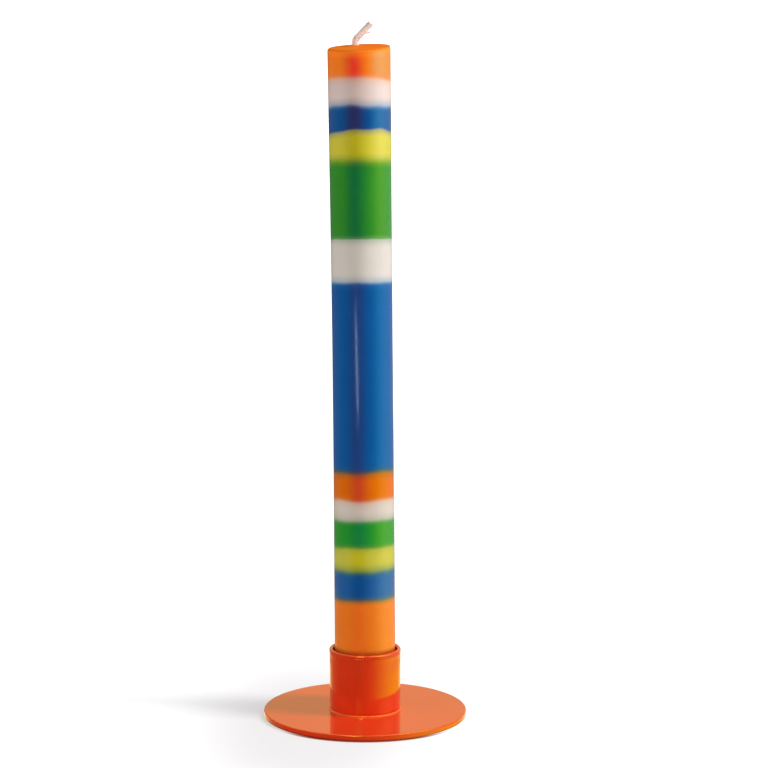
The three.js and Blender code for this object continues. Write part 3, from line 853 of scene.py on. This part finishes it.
def wax_material(index, faces):
    """Satin wax of one pour, with its neighbours showing through near the seams, partly as painted
    light, and with painted shade at its front left.
    """
    material, nodes, shader, position = new_material(WAX_NODES[index] + "_wax")
    wobble = nodes.math("SUBTRACT", nodes.noise(position, 180, 2), 0.5)
    seams = [across_seam(nodes, position, number, faces[number + 1], wobble)
             for number in (index - 1, index) if 0 <= number < len(SEAMS)]
    tint, core, shine = [seams[0][key] for key in ("tint", "core", "shine")]
    if len(seams) == 2:
        thickness = (faces[index + 1][1] - faces[index][1]) / MM
        upper_half = nodes.map(seams[0]["above"], thickness / 2 - 0.3, thickness / 2 + 0.3)
        tint, core, shine = [nodes.mix(upper_half, seams[0][key], seams[1][key])
                             for key in ("tint", "core", "shine")]
    levels = [seam["level"] for seam in seams if seam["level"] is not None]
    gloss_level = levels[0] if levels else POURS[index][3]
    if len(levels) == 2:
        gloss_level = nodes.blend(upper_half, *levels)
    above, angle = seams[-1]["above"], seams[-1]["angle"]
    # Painted shade at the front left, where the wax looks darkest under this light
    from_middle = nodes.math("ABSOLUTE", nodes.math("SUBTRACT", angle, FRONT_SHADE_MIDDLE))
    in_front_shade = nodes.map(from_middle, 0.0, FRONT_SHADE_REACH, 1.0, 0.0)
    # Random clouds in the wax, and on the last pour painted light near the top too
    clouds_and_painted_light = nodes.map(nodes.noise(position, 70, 3), 0.3, 0.7, 0.97, 1.03)
    rough = nodes.map(nodes.noise(position, 400, 3), 0.3, 0.7, *WAX_ROUGHNESS)
    if index == len(POURS) - 1:
        crown = CANDLE_AXIS.dot(placed(centre_x(CANDLE_LENGTH), 0, CANDLE_LENGTH))
        along = nodes.vector("DOT_PRODUCT", position, tuple(CANDLE_AXIS))
        along = nodes.math("SUBTRACT", along, crown)
        facing_out = nodes.add("ShaderNodeTexCoord").outputs["Normal"]
        upward = nodes.vector("DOT_PRODUCT", facing_out, tuple(CANDLE_AXIS))
        # Painted shade: less red and paler at the right, where the key lights the thick wax most
        right = nodes.math("MULTIPLY", nodes.map(angle, *LAST_RIGHT_SHADE), nodes.map(above, 0.0, 2.5))
        tint = nodes.mix(right, tint, LAST_RIGHT_SHADE_COLOUR)
        # The painted shade at the front left fades out towards the top
        in_front_shade = nodes.math("MULTIPLY", in_front_shade, nodes.map(along, *LAST_FRONT_SHADE, 1.0, 0.1))
        tint = nodes.mix(in_front_shade, tint, core)
        # Painted shade: the top face, which catches more light, is given a darker colour than the
        # wall
        tint = nodes.mix(nodes.map(upward, *TOP_PAINTED_SHADE_FACING), tint, TOP_PAINTED_SHADE_COLOUR)
        # Painted light: up to a tenth brighter near the top, where light comes through the wax
        clouds_and_painted_light = nodes.math("MULTIPLY", clouds_and_painted_light, nodes.map(along, *LAST_PAINTED_LIGHT, 1.0, 1.1))
        # The top set in the open air and is duller than the wall
        dull = nodes.map(upward, *DULL_FACING)
        rough = nodes.math("MULTIPLY_ADD", dull, DULL_ROUGHER, rough)
        on_wall = nodes.map(angle, *LAST_GLOSS, 0.4, 1.0)
        gloss_level = nodes.blend(dull, nodes.math("MULTIPLY", gloss_level, on_wall), 0.0)
    else:
        # Painted shade at the front left
        tint = nodes.mix(in_front_shade, tint, core)
    if index == 0:
        # Painted shade and reflection of the collar where the wax meets its rim
        tint = nodes.mix(painted_rim_shade(nodes, position), tint, RIM_SHADE_COLOUR)
    tint = nodes.add("ShaderNodeHueSaturation", {"Value": clouds_and_painted_light, "Color": tint}).outputs["Color"]
    nodes.put(shader.inputs["Base Color"], tint)
    nodes.put(shader.inputs["Specular Tint"], shine)
    nodes.put(shader.inputs["Specular IOR Level"], gloss_level)
    nodes.put(shader.inputs["Roughness"], rough)
    nodes.bump(shader, nodes.noise(position, 90, 3), 0.1, 0.0002)
    return material


def make_wax_layers():
    faces = [flat_face(0)]
    faces += [pour_face(a, b) for a, b in zip(WAX_NODES, WAX_NODES[1:])]
    faces += [flat_face(CANDLE_LENGTH)]
    for index, node in enumerate(WAX_NODES):
        make_wax_layer(index, node, faces)


def uneven(point):
    """How far the wax stands out or in at a point in metres, in millimetres."""
    return sum(size * noise.noise(Vector(point) / (spacing * MM)) for size, spacing in UNEVENNESS)


def wick_edge(angle):
    """The oval of the wick at the candle's top, about the candle's own centre there."""
    return (WICK_SHIFT + WICK_WIDTH / 2 * math.cos(angle), WICK_THICKNESS / 2 * math.sin(angle))


def shoulder(angle):
    """Radius of the rounded shoulder, tighter at the right than at the left."""
    return SHOULDER_RADIUS * (0.8 - 0.35 * math.cos(angle))


def shoulder_ring(angles, turn):
    ring = []
    for a in angles:
        radius = shoulder(a)
        reach = TOP_RADIUS - radius * (1 - math.cos(turn))
        x, y = reach * math.cos(a), reach * math.sin(a)
        lift = radius * (math.sin(turn) - 1) + (TOP_LIFT + TOP_SLOPE * x) * math.sin(turn)
        point = placed(centre_x(CANDLE_LENGTH) + x, y, CANDLE_LENGTH + lift)
        grow = 1 + uneven(point) / reach
        ring.append(placed(centre_x(CANDLE_LENGTH) + x * grow, y * grow, CANDLE_LENGTH + lift))
    return ring


def top_ring(angles, share, sink=0.0):
    """A ring of the candle's top, between shoulder and wick, with the wax drawn up there."""
    ring = []
    for a in angles:
        reach = TOP_RADIUS - shoulder(a)
        x, y = wick_edge(a)
        away = share * math.hypot(reach * math.cos(a) - x, reach * math.sin(a) - y)
        rise = MENISCUS_HEIGHT * max(0, 1 - away / MENISCUS_REACH) ** 2
        x += share * (reach * math.cos(a) - x)
        y += share * (reach * math.sin(a) - y)
        rise += TOP_DOME * (1 - (math.hypot(x, y) / reach) ** 2) + TOP_LIFT + TOP_SLOPE * x
        ripple = noise.noise(Vector((x, y, 7)) / 3.5)
        rise += 0.08 * min(away / 3, 1) * ripple * min(1, (1 - share) * 4)
        ring.append(placed(centre_x(CANDLE_LENGTH) + x, y, CANDLE_LENGTH + rise - sink))
    return ring


def make_wax_layer(index, node, faces):
    lower, upper = faces[index], faces[index + 1]
    rings = []
    angles = [2 * math.pi * step / WAX_STEPS for step in range(WAX_STEPS)]
    first, last = index == 0, index == len(WAX_NODES) - 1
    bottom = [wax_height(a, lower) for a in angles]
    top = [wax_height(a, upper) for a in angles]
    spans = max(3, round((sum(top) - sum(bottom)) / WAX_STEPS / WAX_SPAN))

    def wall(share, inset=0.0, lift=0.0):
        ring = []
        for a, low, high in zip(angles, bottom, top):
            z = low + (high - low) * share + lift
            reach = wax_radius(z) - inset
            point = placed(centre_x(z) + reach * math.cos(a), reach * math.sin(a), z)
            reach += uneven(point)
            ring.append(placed(centre_x(z) + reach * math.cos(a), reach * math.sin(a), z))
        return ring

    if first:
        rings += [wall(0, FOOT_EDGE_RADIUS - x, FOOT_EDGE_RADIUS + z)
                  for x, z in arc(0, 0, FOOT_EDGE_RADIUS, -math.pi / 2, -0.2, 5)]
    start = 1 if first else 0
    stop = spans - 1 if last else spans
    rings += [wall(span / spans) for span in range(start, stop + 1)]
    if last:
        rings += [shoulder_ring(angles, turn) for turn in np.linspace(0, math.pi / 2, 11)]
        rings += [top_ring(angles, share) for share in TOP_SHARES]
        rings += [top_ring(angles, 0.0, WICK_HOLE_DEPTH)]
    vertices = [v for ring in rings for v in ring]
    quads = tube_faces(0, len(rings), WAX_STEPS)
    piece = new_piece(node + "_poured", vertices, quads, wax_material(index, faces), "candle",
                      [node])
    piece.data.set_sharp_from_angle(angle=math.radians(50))


# Wick
def wick_path(along):
    """The wick's middle and tilt at a length above the candle's top, in the candle's frame."""
    x, z = wick_x(CANDLE_LENGTH), CANDLE_LENGTH - WICK_LOWERED
    bend_length = WICK_BEND_RADIUS * WICK_BEND
    upright = min(along, WICK_UPRIGHT)
    tilt = min(max(along - WICK_UPRIGHT, 0) / WICK_BEND_RADIUS, WICK_BEND)
    straight = max(along - WICK_UPRIGHT - bend_length, 0)
    x += WICK_BEND_RADIUS * (1 - math.cos(tilt)) + straight * math.sin(tilt)
    z += upright + WICK_BEND_RADIUS * math.sin(tilt) + straight * math.cos(tilt)
    return x, z, tilt


def braid_point(along, turn, way, spread):
    """The middle of one of the yarns plaited round the wick's core, clockwise or the other way."""
    x, z, tilt = wick_path(along)
    phase = way * 2 * math.pi * along / PLAIT_LENGTH + turn
    lift = 1 + 0.07 * math.sin(way * YARNS_EACH_WAY * phase)
    across = spread * lift * (WICK_FULLNESS * WICK_WIDTH / 2 - YARN_RADIUS) * math.cos(phase)
    deep = spread * lift * (WICK_THICKNESS / 2 - YARN_RADIUS) * math.sin(phase)
    return Vector((x + across * math.cos(tilt), deep, z - across * math.sin(tilt)))


def curved(points, count):
    """Points at even steps along the straight lines between the points given."""
    given = np.array([tuple(p) for p in points])
    steps = np.linalg.norm(np.diff(given, axis=0), axis=1)
    lengths = np.concatenate([[0], np.cumsum(steps)])
    even = np.linspace(0, lengths[-1], count)
    along_axes = [np.interp(even, lengths, given[:, axis]) for axis in range(3)]
    return [Vector([float(c) for c in point]) for point in zip(*along_axes)]


def add_strand(vertices, faces, points, radii, plies, steps):
    """A tube along the points, grooved as a yarn twisted from its plies, with a face over each end.
    """
    first = len(vertices)
    side = Vector((0, 1, 0))
    travelled = 0.0
    for number, (point, radius) in enumerate(zip(points, radii)):
        before, after = points[max(number - 1, 0)], points[min(number + 1, len(points) - 1)]
        tangent = (after - before).normalized()
        side = (side - tangent * side.dot(tangent)).normalized()
        other = tangent.cross(side)
        travelled += (point - before).length
        for step in range(steps):
            angle = 2 * math.pi * step / steps
            groove = abs(math.sin(plies / 2 * angle + YARN_TWIST * travelled)) ** 0.7
            groove = 1 - 0.12 * groove
            offset = (side * math.cos(angle) + other * math.sin(angle)) * radius * groove
            vertices.append(placed(*(point + offset)))
    faces += tube_faces(first, len(points), steps)


def add_fibres(vertices, faces, chance, end, direction, spread, count, length):
    """Loose fibres that stand out of a strand's end."""
    for _ in range(count):
        lean = Vector(chance.normal(0, 1, 3))
        start = end + Vector(chance.normal(0, 1, 3)) * spread * 0.5 - direction * 0.25
        heading = (direction + lean * 0.28).normalized()
        reach = length * chance.uniform(0.35, 1)
        droop = Vector(chance.normal(0, 1, 3)) * 0.25
        points = [start + heading * reach * t + droop * reach * t * t for t in (0, 0.35, 0.7, 1)]
        add_strand(vertices, faces, points, FIBRE_RADII, 1, 5)


def wick_material():
    """Pale cotton yarn, browner towards the cut end and in patches, with painted shade on the outside
    of the bend, the side that faces away from the key.
    """
    material, nodes, shader, position = new_material("cotton_yarn")
    bend_end = WICK_UPRIGHT + WICK_BEND_RADIUS * WICK_BEND
    tip_x, tip_z, _ = wick_path(bend_end + WICK_BENT_LENGTH + WICK_TIP_EXTRA)
    to_tip = nodes.vector("DISTANCE", position, placed(tip_x, 0, tip_z))
    near_tip = nodes.map(to_tip, 0.0005, 0.004, 1.0, 0.0)
    # Painted shade on the outside of the bend, the side away from the key
    x, z, tilt = wick_path(bend_end)
    under = CANDLE_TURN @ Vector((math.cos(tilt), 0, -math.sin(tilt)))
    from_bend = nodes.vector("SUBTRACT", position, placed(x, 0, z))
    outside = nodes.map(nodes.vector("DOT_PRODUCT", from_bend, under), -0.0009, 0.0002, 1.0, 0.0)
    patches = nodes.map(nodes.noise(position, 900, 3), 0.42, 0.62)
    browning_and_shade = nodes.math("MULTIPLY_ADD", near_tip, 0.4, nodes.math("MULTIPLY", patches, 0.2))
    browning_and_shade = nodes.math("MULTIPLY_ADD", outside, 0.45, browning_and_shade)
    fibres = nodes.noise(position, 5000, 2)
    pale = nodes.mix(nodes.map(fibres, 0.3, 0.7), colour(250, 232, 222), colour(255, 246, 240))
    nodes.put(shader.inputs["Base Color"], nodes.mix(browning_and_shade, pale, colour(205, 174, 164)))
    nodes.put(shader.inputs["Roughness"], nodes.map(fibres, 0.3, 0.7, 0.8, 0.95))
    shader.inputs["Specular IOR Level"].default_value = 0.2
    shader.inputs["Sheen Weight"].default_value = 0.15
    nodes.bump(shader, fibres, 0.4, 0.00008)
    return material


def add_core(vertices, faces, lengths, share):
    """The wick's oval core along its path, where lengths below zero lie inside the candle."""
    first = len(vertices)
    for along in lengths:
        if along < 0:
            level = CANDLE_LENGTH + along
            x, z, tilt = wick_x(level), level, 0.0
        else:
            x, z, tilt = wick_path(along)
        size = share(along)
        for step in range(CORE_STEPS):
            angle = 2 * math.pi * step / CORE_STEPS
            across = size * WICK_WIDTH / 2 * math.cos(angle)
            deep = size * WICK_THICKNESS / 2 * math.sin(angle)
            vertices.append(placed(x + across * math.cos(tilt), deep, z - across * math.sin(tilt)))
    faces += tube_faces(first, len(lengths), CORE_STEPS)


def make_wick():
    vertices, faces = [], []
    bend_end = WICK_UPRIGHT + WICK_BEND_RADIUS * WICK_BEND
    tip = bend_end + WICK_BENT_LENGTH + WICK_TIP_EXTRA
    chance = np.random.default_rng(FIBRE_SEED)

    def spread(along):
        return 1 - (1 - WICK_TIP_SHARE) * min(max((along - bend_end) / (tip - bend_end), 0), 1)

    add_core(vertices, faces, np.linspace(-CANDLE_LENGTH, -1.6, 50), lambda along: 1.0)
    add_core(vertices, faces, np.linspace(0, tip - 0.5, 40), lambda along: 0.95 * spread(along))

    for way in (1, -1):
        for number in range(YARNS_EACH_WAY):
            turn = 2 * math.pi * (number + 0.25) / YARNS_EACH_WAY
            end = tip - chance.uniform(0, 0.7)
            lengths = np.linspace(-1.0, end, YARN_POINTS)
            points = [braid_point(s, turn, way, spread(s)) for s in lengths]
            radii = [YARN_RADIUS * spread(s) * min(1, 0.6 + (end - s) * 1.2) for s in lengths]
            add_strand(vertices, faces, points, radii, 3, 10)
            heading = (points[-1] - points[-4]).normalized()
            add_fibres(vertices, faces, chance, points[-1], heading, 0.2, 4, 0.8)
            for _ in range(FIBRES_ON_YARN):
                place = int(chance.integers(8, len(points) - 3))
                heading = (points[place + 1] - points[place - 1]).normalized()
                add_fibres(vertices, faces, chance, points[place], heading, 0.35, 1, 0.7)

    # The yarn that has come loose below the cut end
    x, z, tilt = wick_path(bend_end)
    start = Vector((x + STRAND_START * math.sin(tilt), 0, z + STRAND_START * math.cos(tilt)))
    heading = Vector((math.sin(STRAND_BEND), 0, math.cos(STRAND_BEND)))
    along_wick = Vector((math.sin(tilt), 0, math.cos(tilt)))
    lower = Vector((math.cos(tilt), 0, -math.sin(tilt)))
    bend = Vector((x, 0, z))
    points = [bend + lower * 0.45, bend + lower * 0.5 + along_wick * 1.0]
    points += [start + heading * s for s in np.linspace(0.6, STRAND_LENGTH, 12)]
    points = curved(points, STRAND_POINTS)
    taper = STRAND_POINTS - 1 - STRAND_TAPERS_FROM
    radii = [STRAND_RADIUS * (1 - 0.45 * max(number - STRAND_TAPERS_FROM, 0) / taper)
             for number in range(STRAND_POINTS)]
    add_strand(vertices, faces, points, radii, 4, 14)
    add_fibres(vertices, faces, chance, points[-1], heading, 0.25, 12, 0.8)
    piece = new_piece("cotton_wick", vertices, faces, wick_material(), "candle",
                      ["wick"])
    piece.data.set_sharp_from_angle(angle=math.radians(60))


make_camera()
make_world()
make_floor()
make_lights()
paint = paint_material("orange_powder_paint")
make_plate(paint)
make_collar(paint)
make_weld(paint_material("orange_paint_on_weld", WELD_ROUGHNESS, WELD_HIGHLIGHT_REDNESS))
make_wax_layers()
make_wick()

bpy.context.scene.view_settings.view_transform = "Standard"
